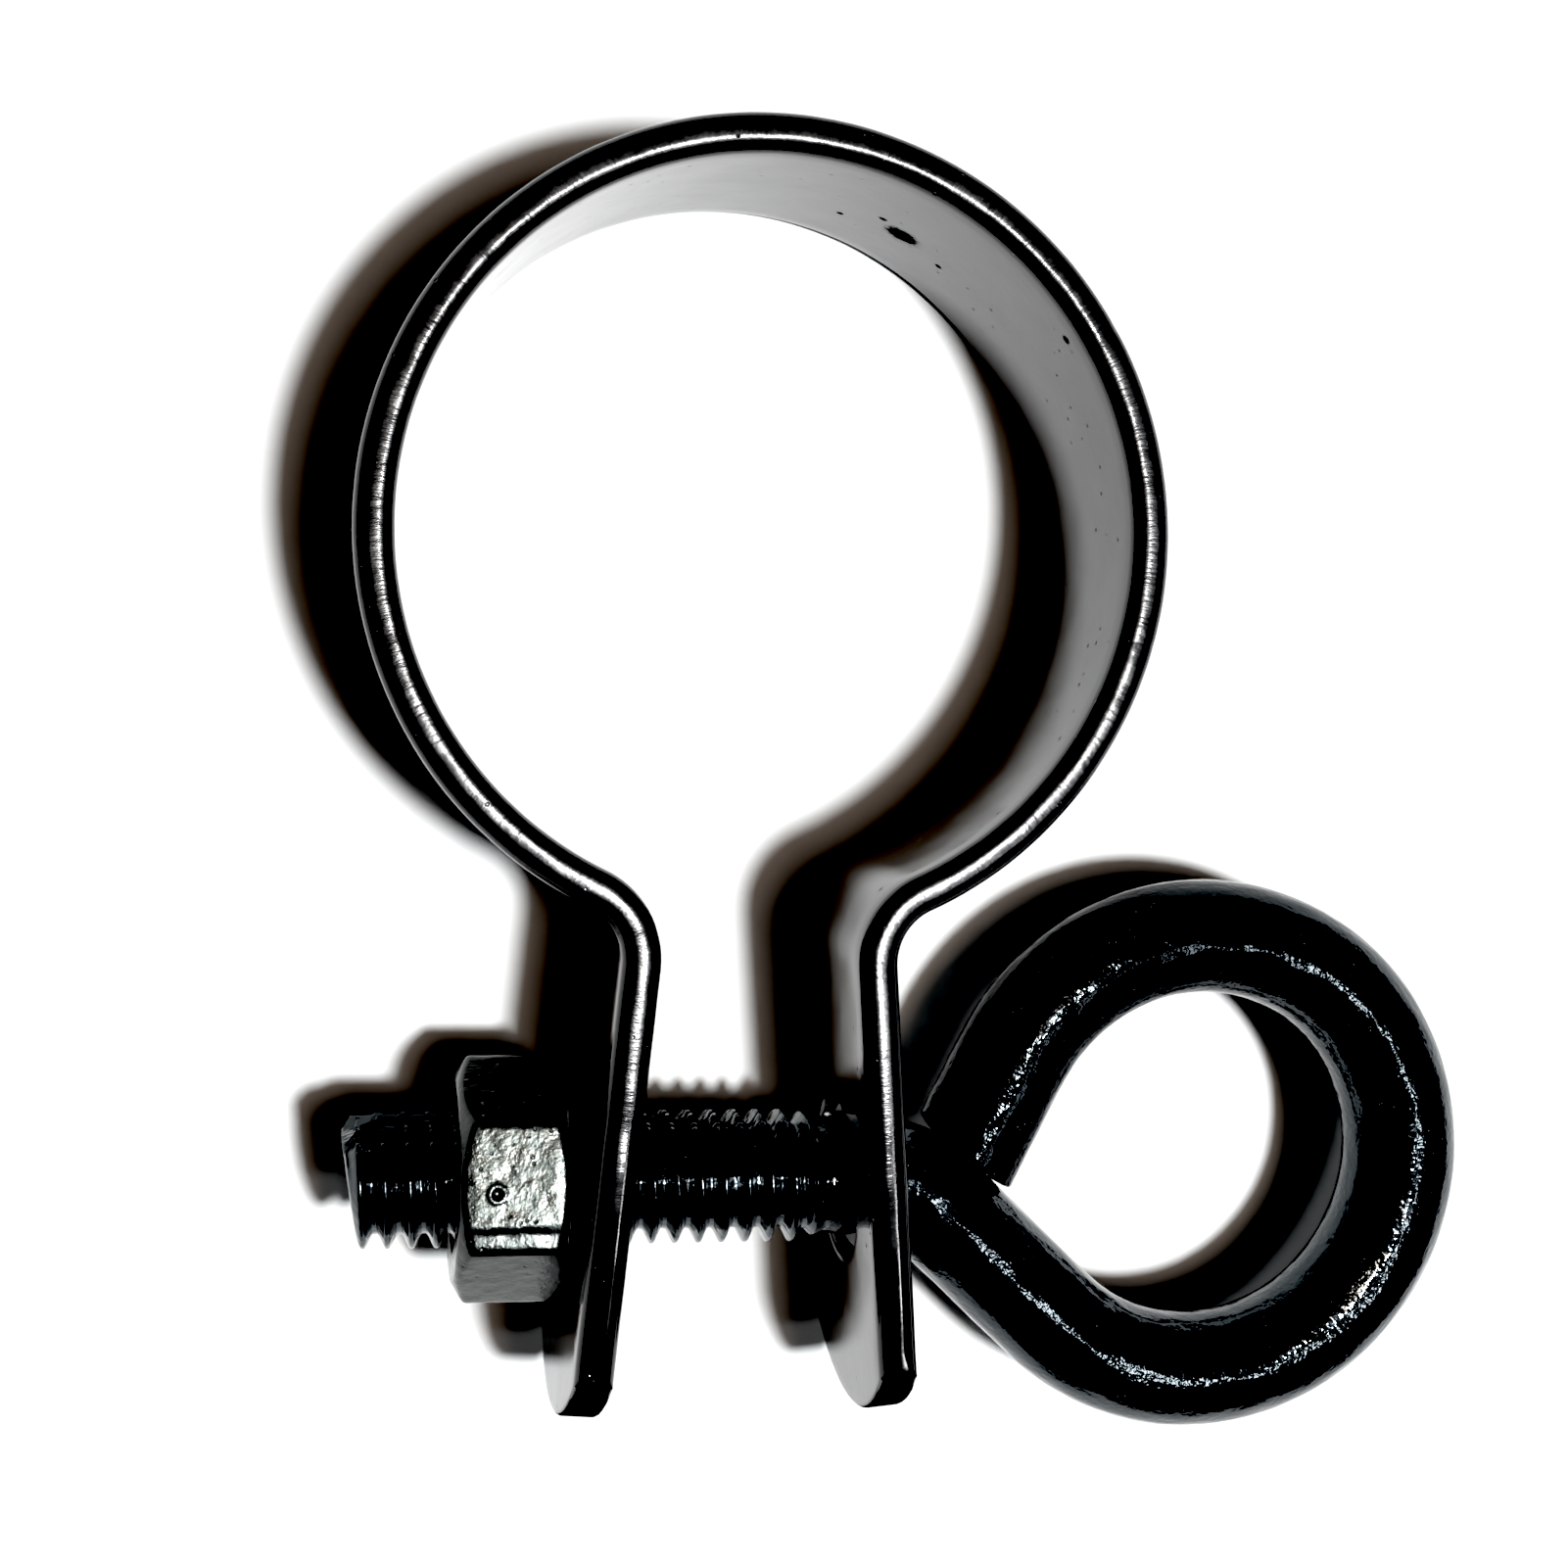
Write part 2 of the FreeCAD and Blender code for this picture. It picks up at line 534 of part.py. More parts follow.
def corner_chamfer(body, name, face_expression, face, into):
    """Triangle outside the chamfer cone, on the XY plane, to be turned about X."""
    sketch = new_sketch(body, name, "XY_Plane")
    corner = dim["nut_flats"] / 2 / math.cos(math.radians(30))
    depth = dim["nut_chamfer"]
    inner = corner - depth / FLANK
    outer = corner + dim["overrun"]
    sign = "+" if into > 0 else "-"
    points = [(face, inner), (face + into * (depth + dim["overrun"] * FLANK), outer), (face, outer)]
    lines = polygon(sketch, points)
    corner_at = "dims.nut_flats / 2 / cos(30 deg)"
    rim_at = f"{corner_at} - dims.nut_chamfer / tan(30 deg)"
    place_point(sketch, "rim", lines[0], face_expression, rim_at, points[0])
    place_point(sketch, "slope", lines[1],
                f"{face_expression} {sign} (dims.nut_chamfer + dims.overrun * tan(30 deg))",
                f"{corner_at} + dims.overrun", points[1])
    place_point(sketch, "outside", lines[2], face_expression, f"{corner_at} + dims.overrun", points[2])
    return sketch


def bore_countersink(body, name, face_expression, face, into):
    """Triangle at one mouth of the nut's bore, to be turned about X."""
    sketch = new_sketch(body, name, "XY_Plane")
    mouth = dim["thread_major"] / 2 + dim["mouth_rim"]
    depth = dim["mouth_depth"]
    sign = "+" if into > 0 else "-"
    points = [(face, 0.0), (face, mouth), (face + into * depth, mouth - depth), (face + into * depth, 0.0)]
    lines = polygon(sketch, points)
    inner = f"{face_expression} {sign} dims.mouth_depth"
    mouth_at = "dims.thread_major / 2 + dims.mouth_rim"
    place_point(sketch, "axis_face", lines[0], face_expression, "0", points[0])
    place_point(sketch, "mouth", lines[1], face_expression, mouth_at, points[1])
    place_point(sketch, "throat", lines[2], inner, f"{mouth_at} - dims.mouth_depth", points[2])
    place_point(sketch, "axis_throat", lines[3], inner, "0", points[3])
    return sketch


def hex_nut():
    """Local x = 0 is the bearing face; the nut lies on the -x side of it."""
    body = new_body("hex_nut")
    blank = body.newObject("PartDesign::Pad", "blank")
    blank.Profile = hexagon(body)
    blank.Reversed = True
    blank.setExpression("Length", "dims.nut_height")
    doc.recompute()
    height = dim["nut_height"]
    turned_cut(body, "seat_chamfer", corner_chamfer(body, "seat_corner", "0", 0.0, -1))
    turned_cut(body, "outer_chamfer", corner_chamfer(body, "outer_corner", "-dims.nut_height", -height, 1))

    clearance = dim["thread_clearance"]
    minor_expression, minor = minor_radius()
    bore = circle_across_x(body, "bore", f"{minor_expression} + dims.thread_clearance", minor + clearance)
    cut_through(body, "bore_pocket", bore)
    seat_mouth = bore_countersink(body, "seat_mouth", "0", 0.0, -1)
    turned_cut(body, "seat_countersink", seat_mouth)
    outer_mouth = bore_countersink(body, "outer_mouth", "-dims.nut_height", -height, 1)
    turned_cut(body, "outer_countersink", outer_mouth)

    # The groove starts a whole number of pitches from the start of the bolt's ridge, so that they mesh.
    pitch = dim["thread_pitch"]
    behind = dim["nut_seat"] - height - GROOVE_LEAD * pitch
    turns = math.floor((behind - dim["thread_tip"]) / pitch)
    start = dim["thread_tip"] + turns * pitch - dim["nut_seat"]
    profile = thread_profile(body, "groove_section",
                             f"dims.thread_tip + {turns} * dims.thread_pitch - dims.nut_seat", start,
                             "dims.thread_clearance", clearance)
    before = body.Shape.Volume
    helix(body, "PartDesign::SubtractiveHelix", "thread", profile,
          f"dims.nut_height + {GROOVE_EXTRA} * dims.thread_pitch")
    doc.recompute()
    check_cut(body, "thread", before)
    body.setExpression("Placement.Base.x", "dims.nut_seat")
    body.setExpression("Placement.Base.y", "-dims.bolt_drop")
    doc.recompute()
    return body


# ---------------------------------------------------------------- build, check, write

right = band_right_half()
pieces = [right, band_left_half(right), eye_bolt(), hex_nut()]
doc.recompute()

failed = [item.Name for item in doc.Objects if "Invalid" in item.State or "Error" in item.State]
if failed:
    raise RuntimeError("failed objects: " + ", ".join(failed))
for sketch in doc.findObjects("Sketcher::SketchObject"):
    if sketch.solve() != 0 or not sketch.FullyConstrained:
        raise RuntimeError(f"{sketch.Name} isn't fully and consistently constrained")

os.makedirs("parts", exist_ok=True)
for piece in pieces:
    shape = piece.Shape
    if shape.isNull() or not shape.isValid() or len(shape.Solids) != 1:
        raise RuntimeError(f"{piece.Label}: bad shape")
    shape.exportStep(f"parts/{piece.Label}.step")
    box = shape.optimalBoundingBox(False)
    print(piece.Label, round(shape.Volume, 1), "mm3", [round(v, 2) for v in
          (box.XMin, box.YMin, box.ZMin, box.XMax, box.YMax, box.ZMax)])
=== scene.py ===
import json
import math
import bmesh
import bpy
import numpy as np
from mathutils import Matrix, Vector, noise


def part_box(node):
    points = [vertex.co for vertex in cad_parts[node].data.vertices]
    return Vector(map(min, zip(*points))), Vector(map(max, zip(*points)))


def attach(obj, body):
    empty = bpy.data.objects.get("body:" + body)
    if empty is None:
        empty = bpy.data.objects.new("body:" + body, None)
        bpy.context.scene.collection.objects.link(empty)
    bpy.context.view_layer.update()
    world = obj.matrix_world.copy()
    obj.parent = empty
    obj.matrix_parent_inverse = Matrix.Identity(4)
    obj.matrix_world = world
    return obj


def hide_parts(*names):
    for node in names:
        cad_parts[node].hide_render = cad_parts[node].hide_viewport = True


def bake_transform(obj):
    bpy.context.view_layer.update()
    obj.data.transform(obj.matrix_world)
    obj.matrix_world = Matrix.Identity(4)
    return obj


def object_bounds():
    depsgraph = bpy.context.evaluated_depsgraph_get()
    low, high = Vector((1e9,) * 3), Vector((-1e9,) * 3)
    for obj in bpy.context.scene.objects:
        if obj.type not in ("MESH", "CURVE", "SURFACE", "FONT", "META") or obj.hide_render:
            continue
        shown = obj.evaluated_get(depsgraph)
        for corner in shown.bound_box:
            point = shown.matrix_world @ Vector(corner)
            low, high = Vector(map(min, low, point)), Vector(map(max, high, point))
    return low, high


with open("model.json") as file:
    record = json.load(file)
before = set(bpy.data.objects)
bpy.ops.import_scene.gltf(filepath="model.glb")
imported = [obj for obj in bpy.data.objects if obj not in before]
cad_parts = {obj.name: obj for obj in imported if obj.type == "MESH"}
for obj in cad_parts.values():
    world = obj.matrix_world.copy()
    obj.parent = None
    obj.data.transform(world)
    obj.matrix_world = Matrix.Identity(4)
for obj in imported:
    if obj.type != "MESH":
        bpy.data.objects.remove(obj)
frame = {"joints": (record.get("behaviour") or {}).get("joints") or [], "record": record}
cad_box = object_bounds()

# A flat strap hose clamp with an eye bolt, in thick black paint, seen from above on white paper. The part's
# lengths are in millimetres until a mesh is made; those of the stage, lamps and camera are in metres.
MM = 0.001
scene = bpy.context.scene


def named(items, name):
    """The item of a list in the frame that has this name."""
    return next(item for item in items if item["name"] == name)


# ---------------------------------------------------------------- sizes, from the frame where it has them
bore = named(frame["record"]["mounts"], "band_bore")["dims"]["r_mm"]
band_low, band_high = (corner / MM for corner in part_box("band_right_half"))
strap_width = band_high.z - band_low.z
thickness = band_high.y - bore
ear_tip_y = band_low.y
bolt_y = named(frame["joints"], "bolt_turn")["pos_m"][1] / MM
bolt_low, bolt_high = (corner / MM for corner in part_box("eye_bolt"))
nut_low, nut_high = (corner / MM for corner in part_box("hex_nut"))

# The strip: its rolled edges, the bend between ring and ear, and the ear with its hole and cut end.
edge_round = 0.95
bend_radius = 3.3
ear_lean = math.radians(4.9)
ear_gap = 13.7
ear_end_radius = 12.7
ear_hole_radius = 4.96
cut_edge_round = 0.3
ear_corner_round = 0.6

# The thread, which has a crest on the +Y side at thread_start, and the sheared end: a slant, and above the
# knee a long bevel. Slopes are x per height.
thread_radius = bolt_high.z
pitch = 1.4111
flank_angle = math.radians(30)
thread_start = -25.0
thread_stop = 6.9
thread_depth = 0.6134 * pitch
bolt_end = bolt_low.x
shear_knee = 2.6
bevel_slope = 2.41
slant_slope = 0.164
end_lip = 0.15

# The wire: a neck, a lower arm, the eye, and a returning arm whose cut end butts against the lower arm.
wire_radius = 3.51
neck_bend = 5.2
arm_fall = math.radians(43)
eye_radius = 10.25 + wire_radius
eye_x = 30.1
eye_y = bolt_y + 1.05
return_fall = math.radians(64)
butt_x = 14.95
butt_y = bolt_y + 1.3
butt_slope = math.radians(39)
butt_gap = 0.03
butt_lip = 0.25

# The nut, turned a few degrees from facing the camera with a flat.
nut_flats = 12.7
nut_turn = math.radians(8)
nut_chamfer = 0.75
chamfer_angle = math.radians(30)
nut_mouth = thread_radius + 0.3
nut_thread_clearance = 0.12


# ---------------------------------------------------------------- mesh helpers

def make_piece(name, points, faces, flow):
    """A smooth closed mesh from points in millimetres. flow is a coordinate that follows the metal."""
    mesh = bpy.data.meshes.new(name)
    mesh.from_pydata((np.asarray(points) * MM).tolist(), [], faces)
    work = bmesh.new()
    work.from_mesh(mesh)
    bmesh.ops.recalc_face_normals(work, faces=work.faces)
    work.to_mesh(mesh)
    work.free()
    mesh.shade_smooth()
    attribute = mesh.attributes.new("flow", "FLOAT_VECTOR", "POINT")
    attribute.data.foreach_set("vector", np.asarray(flow, np.float32).ravel())
    piece = bpy.data.objects.new(name, mesh)
    scene.collection.objects.link(piece)
    return piece


def skin(rows, flow_rows=None, closed=False):
    """Quads between rows of points that each go once round; open ends are capped with a fan.

    closed joins the last row to the first instead, for a ring-shaped piece.
    """
    count, around, _ = rows.shape
    points = rows.reshape(-1, 3)
    faces = []
    for row in range(count if closed else count - 1):
        this = row * around
        after = (row + 1) % count * around
        for column in range(around):
            beside = (column + 1) % around
            faces.append((this + column, this + beside, after + beside, after + column))
    flow = None if flow_rows is None else flow_rows.reshape(-1, 3)
    if not closed:
        middles = np.array([rows[0].mean(0), rows[-1].mean(0)])
        points = np.vstack([points, middles])
        last = (count - 1) * around
        for column in range(around):
            beside = (column + 1) % around
            faces.append((count * around, beside, column))
            faces.append((count * around + 1, last + column, last + beside))
        if flow is not None:
            flow = np.vstack([flow, flow_rows[0].mean(0), flow_rows[-1].mean(0)])
    return points, faces, flow


def go_along(heading, curvature, along):
    """The step made, and the angle turned, after a distance along a run of one curvature."""
    turn = curvature * along
    if curvature:
        step = np.array([math.sin(heading + turn) - math.sin(heading),
                         math.cos(heading) - math.cos(heading + turn)]) / curvature
    else:
        step = np.array([math.cos(heading), math.sin(heading)]) * along
    return step, turn


def trace(start, heading, runs, distance):
    """Points and headings at distances along a plane path of straight and circular runs.

    Each run is (length, curvature): curvature is positive where the path turns left. The last run goes on
    past its end.
    """
    points = np.zeros((distance.size, 2))
    headings = np.zeros(distance.size)
    position = np.array(start, float)
    begun = 0.0
    for number, (length, curvature) in enumerate(runs):
        is_last = number == len(runs) - 1
        here = distance >= begun if is_last else (distance >= begun) & (distance < begun + length)
        for index in np.nonzero(here)[0]:
            step, turn = go_along(heading, curvature, distance[index] - begun)
            points[index] = position + step
            headings[index] = heading + turn
        step, turn = go_along(heading, curvature, length)
        position = position + step
        heading = heading + turn
        begun += length
    return points, headings


def smooth_step(value, low, high):
    """0 below low, 1 above high and a smooth rise between them."""
    share = np.clip((value - low) / (high - low), 0, 1)
    return share * share * (3 - 2 * share)


def roughen(points, size, seed):
    """Noise from -1 to 1 at each point, for lumps of about that size."""
    shift = Vector((seed * 17.3, seed * 5.1, seed * 9.7))
    return np.array([noise.noise(Vector(point) / size + shift) for point in points])


def angles_round(count):
    """Equal angles once round the bolt's axis or the wire's, from +Y towards +Z."""
    return np.arange(count) * 2 * math.pi / count


# ---------------------------------------------------------------- band

def band_runs():
    """Half of the strip's centre line, from the crown down the right side: ring, bend, ear."""
    half = thickness / 2
    ring = bore + half
    bend = bend_radius + half
    along = np.array([math.sin(ear_lean), -math.cos(ear_lean)])
    outward = np.array([math.cos(ear_lean), math.sin(ear_lean)])
    foot = np.array([ear_gap / 2 + half / math.cos(ear_lean), bolt_y]) + outward * bend
    middle = -foot @ along
    rise = math.sqrt((ring + bend) ** 2 - (foot @ foot - middle ** 2))
    centre = foot + along * (middle + rise)
    ring_turn = math.atan2(centre[0], centre[1])
    bend_turn = ring_turn - (math.pi / 2 - ear_lean)
    bend_end = centre - outward * bend
    bolt_distance = (bend_end[1] - bolt_y) / math.cos(ear_lean)
    lengths = (ring * ring_turn, bend * bend_turn, bolt_distance)
    return ring, bend, lengths


ring_centre_radius, bend_centre_radius, band_lengths = band_runs()
hole_at = sum(band_lengths)
centre_line = [
    (band_lengths[0], -1 / ring_centre_radius),
    (band_lengths[1], 1 / bend_centre_radius),
    (band_lengths[2], 0.0),
]

# Small damage to the painted edges: distance along the strip from the crown, place across it,
# radius of the dent and its depth.
nicks = (
    (-74.4, 9.4, 0.55, 0.16),
    (-73.9, 8.9, 0.40, 0.14),
    (79.6, 9.3, 0.40, 0.12),
    (-18.5, 9.3, 0.35, 0.07),
    (-29.0, 9.2, 0.30, 0.06),
    (22.0, 9.2, 0.35, 0.07),
    (30.5, 8.6, 0.30, 0.06),
    (-41.0, 9.2, 0.35, 0.07),
    (-63.5, 9.1, 0.45, 0.10),
    (40.0, 9.3, 0.30, 0.06),
    (48.5, -9.2, 0.40, 0.10),
    (-9.0, -9.3, 0.40, 0.10),
)

# Dull spots in the paint of the ring's sides: distance along, place across, radius.
dull_spots = (
    (10.0, -1.0, 1.35),
    (8.3, 0.2, 0.35),
    (21.2, 7.0, 0.4),
    (6.0, -2.5, 0.3),
    (13.2, -2.0, 0.3),
)


def bend_strip(flat):
    """Moves points of the flat strip (distance along, across, height off its middle) onto the band."""
    side = np.where(flat[:, 0] < 0, -1.0, 1.0)
    points, headings = trace((0, ring_centre_radius), 0.0, centre_line, np.abs(flat[:, 0]))
    normals = np.stack([-np.sin(headings), np.cos(headings)], axis=1)
    placed = points + normals * flat[:, 2:3]
    return np.stack([placed[:, 0] * side, placed[:, 1], flat[:, 1]], axis=1)


def ear_tip_distance(across, radius):
    """Distance along the strip to the round end of the ear."""
    drop = np.sqrt(radius ** 2 - across ** 2) - ear_end_radius
    return hole_at + (bolt_y - ear_tip_y + drop) / math.cos(ear_lean)


class Sheet:
    """Points (distance along, across) and quads of a flat side of the strip."""

    def __init__(self):
        self.points = []
        self.quads = []
        self.numbers = {}

    def number(self, s, z):
        """The number of the point at this place, which is made once."""
        key = (round(s, 4), round(z, 4))
        if key not in self.numbers:
            self.numbers[key] = len(self.points)
            self.points.append((s, z))
        return self.numbers[key]

    def add_grid(self, rows):
        """Quads between rows of points that run across the strip."""
        numbered = [[self.number(*point) for point in row] for row in rows]
        for low, high in zip(numbered, numbered[1:]):
            for k in range(len(low) - 1):
                self.quads.append((low[k], high[k], high[k + 1], low[k + 1]))

    def add_loops(self, loops):
        """Quads between closed loops of points, from the outer one inwards."""
        numbered = [[self.number(*point) for point in loop] for loop in loops]
        for outside, inside in zip(numbered, numbered[1:]):
            for k in range(len(outside)):
                beside = (k + 1) % len(outside)
                self.quads.append((outside[k], outside[beside], inside[beside], inside[k]))


def hole_loops(side, across, patch):
    """Loops from a square patch of the strip in to the edge of one ear's hole."""
    loop_count = 7
    crowding = 1.3
    half = across[-1]
    stations = np.linspace(hole_at - patch, hole_at + patch, len(across)) * side
    near, far = stations[0], stations[-1]
    square = np.array([(near, z) for z in across[:-1]] + [(s, half) for s in stations[:-1]]
                      + [(far, z) for z in across[:0:-1]] + [(s, -half) for s in stations[:0:-1]])
    centre = np.array([hole_at * side, 0.0])
    spokes = square - centre
    spokes /= np.linalg.norm(spokes, axis=1)[:, None]
    circle = centre + spokes * (ear_hole_radius + cut_edge_round)
    shares = 1 - (1 - np.linspace(0, 1, loop_count + 1)) ** crowding
    return [square + (circle - square) * share for share in shares]


def flat_sheet():
    """Points and quads of a flat side of the strip, inside its rounded edges."""
    divisions = 16
    step = 0.35
    patch = 8.2
    end_rows = 9
    half = strap_width / 2 - edge_round
    across = np.linspace(-half, half, divisions + 1)
    sheet = Sheet()
    main_end = hole_at - patch
    stations = np.linspace(-main_end, main_end, 2 * round(main_end / step) + 1)
    sheet.add_grid([[(s, z) for z in across] for s in stations])
    tip = ear_tip_distance(across, ear_end_radius - cut_edge_round)
    for side in (-1, 1):
        sheet.add_loops(hole_loops(side, across, patch))
        shares = np.linspace(0, 1, end_rows + 1)
        stretches = [(hole_at + patch) * (1 - share) + tip * share for share in shares]
        sheet.add_grid([[(s * side, z) for s, z in zip(stretch, across)] for stretch in stretches])
    return np.array(sheet.points), sheet.quads


def rim_offset(s, z):
    """From a boundary point of the flat sheet to the strip's true edge, and the edge's radius.

    Near the ear's end the rolled edge narrows, and its last bit is drawn out to the end's corner.
    """
    tolerance = 1e-3
    narrowing = 2.0
    last_bit = 0.2
    side = math.copysign(1, s)
    half = strap_width / 2 - edge_round
    to_hole = np.array([s - hole_at * side, z])
    if np.linalg.norm(to_hole) < ear_hole_radius + 2 * cut_edge_round:
        return -to_hole / np.linalg.norm(to_hole) * cut_edge_round, cut_edge_round
    if abs(z) < half - tolerance:
        outward = np.array([side * math.sqrt(ear_end_radius ** 2 - z ** 2), z]) / ear_end_radius
        return outward * cut_edge_round, cut_edge_round
    corner = ear_tip_distance(strap_width / 2, ear_end_radius)
    inner_corner = ear_tip_distance(half, ear_end_radius - cut_edge_round)
    near_corner = smooth_step(abs(s), inner_corner - narrowing, inner_corner)
    back = (corner - inner_corner) * side * smooth_step(abs(s), inner_corner - last_bit, inner_corner)
    radius = edge_round + (ear_corner_round - edge_round) * near_corner
    return np.array([back, math.copysign(edge_round, z)]), radius


def dent(flat):
    """How far the nicks push each point of the strip in, in millimetres."""
    widening = 1.6
    depth = np.zeros(len(flat))
    for s, z, size, deep in nicks:
        apart = ((flat[:, 0] - s) / size) ** 2 + ((flat[:, 1] - z) / (widening * size)) ** 2
        depth += deep * np.exp(-apart)
    return depth


def border_edges(quads):
    """The edges that only one quad uses, each in that quad's direction."""
    uses = {}
    for quad in quads:
        for a, b in zip(quad, quad[1:] + quad[:1]):
            uses.setdefault(frozenset((a, b)), []).append((a, b))
    return [found[0] for found in uses.values() if len(found) == 1]


def flat_band():
    """The strip before it is bent: points (distance along, across, height off its middle) and faces.

    It has two flat sides, and a rim of quarter rounds between their edges.
    """
    sheet, quads = flat_sheet()
    count = len(sheet)
    half = thickness / 2
    flat = [np.column_stack([sheet, np.full(count, half)]), np.column_stack([sheet, np.full(count, -half)])]
    faces = quads + [tuple(i + count for i in reversed(quad)) for quad in quads]
    rim_edges = border_edges(quads)
    rim = sorted({i for edge in rim_edges for i in edge})
    offsets, radii = zip(*(rim_offset(*sheet[i]) for i in rim))
    offsets = np.array(offsets)
    radii = np.array(radii)
    turns = np.radians(np.linspace(0, 90, 8))[1:]
    levels = [(turn, 1) for turn in turns] + [(turn, -1) for turn in turns[::-1]]
    for turn, side in levels:
        out = sheet[rim] + offsets * math.sin(turn)
        height = side * (half - radii + radii * math.cos(turn))
        flat.append(np.column_stack([out, height]))
    slot = {i: k for k, i in enumerate(rim)}
    starts = [2 * count + level * len(rim) for level in range(len(levels))]
    for a, b in rim_edges:
        chain_a = [a, *(start + slot[a] for start in starts), a + count]
        chain_b = [b, *(start + slot[b] for start in starts), b + count]
        for k in range(len(chain_a) - 1):
            faces.append((chain_a[k], chain_b[k], chain_b[k + 1], chain_a[k + 1]))
    return np.vstack(flat), faces


def press_band(flat):
    """The flat strip's points with the paint's lumps and the nicks: thinner there, its edges pushed in."""
    thinning = 0.3
    lumps = roughen(flat, 7.0, 1) * 0.02 + roughen(flat, 2.2, 2) * 0.012
    edge_lumps = roughen(flat, 1.4, 3) * 0.02
    depth = dent(flat)
    edge_side = np.clip(np.abs(flat[:, 1]) - (strap_width / 2 - edge_round), 0, None) / edge_round
    pressed = flat.copy()
    pressed[:, 1] -= np.sign(flat[:, 1]) * (depth + edge_lumps) * edge_side
    pressed[:, 2] *= 1 + (lumps - thinning * depth) / (thickness / 2)
    return pressed


def make_band():
    """The whole band in one mesh, bent onto the centre line."""
    flat, faces = flat_band()
    piece = make_piece("band", bend_strip(press_band(flat)), faces, flow=flat)
    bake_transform(piece)
    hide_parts("band_right_half", "band_left_half")
    return piece


# ---------------------------------------------------------------- eye bolt

def thread_surface(x, turn):
    """Radius of the painted thread at x and at an angle from +Y towards +Z."""
    straight = 0.6
    phase = (x - thread_start) / pitch - turn / (2 * math.pi)
    off_crest = np.abs((phase + 0.5) % 1 - 0.5) * pitch
    flank = np.clip((off_crest - pitch / 16) / (thread_depth * math.tan(flank_angle)), 0, 1)
    depth = thread_depth * (straight * flank + (1 - straight) * smooth_step(flank, 0, 1))
    return thread_radius - depth


def sheared_end(y):
    """x of the bolt's sheared end at a height over its axis: a slant with a long bevel on top."""
    over_knee = y - shear_knee
    return bolt_end + np.where(over_knee > 0, over_knee * bevel_slope, -over_knee * slant_slope)


def bolt_thread_rows(around):
    """Rows from the middle of the sheared end out to its rim, then along the thread."""
    steps = 400
    fade_start = thread_stop - 2.2 * pitch
    fade_end = thread_stop - 0.6 * pitch
    turn = angles_round(around)
    cosine, sine = np.cos(turn), np.sin(turn)
    # The rim's radius depends on where it lies along the thread, and its place on its radius.
    rim_x = sheared_end(thread_radius * cosine)
    for _ in range(4):
        rim_r = thread_surface(rim_x + end_lip, turn)
        rim_x = sheared_end(rim_r * cosine)
    rows = []
    for share in (0.15, 0.3, 0.45, 0.6, 0.72, 0.82, 0.9, 0.96, 0.99):
        r = rim_r * share
        x = sheared_end(r * cosine) + end_lip * share ** 12
        rows.append(np.stack([x, r * cosine, r * sine], axis=1))
    for share in np.linspace(0, 1, steps):
        x = rim_x + end_lip + (thread_stop - rim_x - end_lip) * share
        fade = smooth_step(x, fade_start, fade_end)
        r = thread_surface(x, turn) * (1 - fade) + wire_radius * fade
        rows.append(np.stack([x, r * cosine, r * sine], axis=1))
    rows = np.array(rows)
    rows[..., 1] += bolt_y
    return rows


def wire_runs():
    """The wire's axis from the thread to its cut end: shank, neck, lower arm, eye, returning arm."""
    centre = np.array([eye_x, eye_y])
    arm_end = centre - np.array([math.sin(arm_fall), math.cos(arm_fall)]) * eye_radius
    corner_x = arm_end[0] + (arm_end[1] - bolt_y) / math.tan(arm_fall)
    tangent = neck_bend * math.tan(arm_fall / 2)
    arm = (bolt_y - arm_end[1]) / math.sin(arm_fall) - tangent
    return [
        (corner_x - tangent - thread_stop, 0.0),
        (neck_bend * arm_fall, -1 / neck_bend),
        (arm, 0.0),
        (eye_radius * (arm_fall + math.pi + return_fall), 1 / eye_radius),
        (0.1, 0.0),
    ]


def wire_rows(around):
    """Rows along the wire, then the cut end that lies against the lower arm."""
    step = 0.4
    saddle_share = 0.18
    runs = wire_runs()
    length = sum(run[0] for run in runs)
    stations = np.linspace(0, length, round(length / step) + 1)[1:]
    axis, headings = trace((thread_stop, bolt_y), 0.0, runs, stations)
    turn = angles_round(around)
    side_offset = wire_radius * np.cos(turn)
    z = wire_radius * np.sin(turn)
    rows = []
    for (x, y), heading in zip(axis, headings):
        normal = np.array([-math.sin(heading), math.cos(heading)])
        rows.append(np.stack([x + side_offset * normal[0], y + side_offset * normal[1], z], axis=1))
    ahead = np.array([math.cos(headings[-1]), math.sin(headings[-1])])
    normal = np.array([-ahead[1], ahead[0]])
    plane = np.array([math.sin(butt_slope), math.cos(butt_slope)])
    point = np.array([butt_x, butt_y])

    def cut_row(scale, lift):
        """A ring on the cut face, scaled towards its middle and lifted back off the face."""
        start = axis[-1] + np.outer(side_offset * scale, normal)
        hollow = wire_radius - np.sqrt(np.clip(wire_radius ** 2 - (z * scale) ** 2, 0, None))
        reach = ((point - start) @ plane + butt_gap - saddle_share * hollow + lift) / (ahead @ plane)
        placed = start + np.outer(reach, ahead)
        return np.column_stack([placed, z * scale])

    rim = cut_row(1.0, butt_lip)
    last = rows[-1]
    for share in np.linspace(0, 1, 24)[1:]:
        rows.append(last + (rim - last) * share)
    for angle in np.radians((25, 50, 70, 90)):
        inset = butt_lip * (1 - math.cos(angle)) / wire_radius
        rows.append(cut_row(1 - inset, butt_lip * (1 - math.sin(angle))))
    for scale in (0.8, 0.6, 0.4, 0.2):
        rows.append(cut_row(scale, 0.0))
    return np.array(rows)


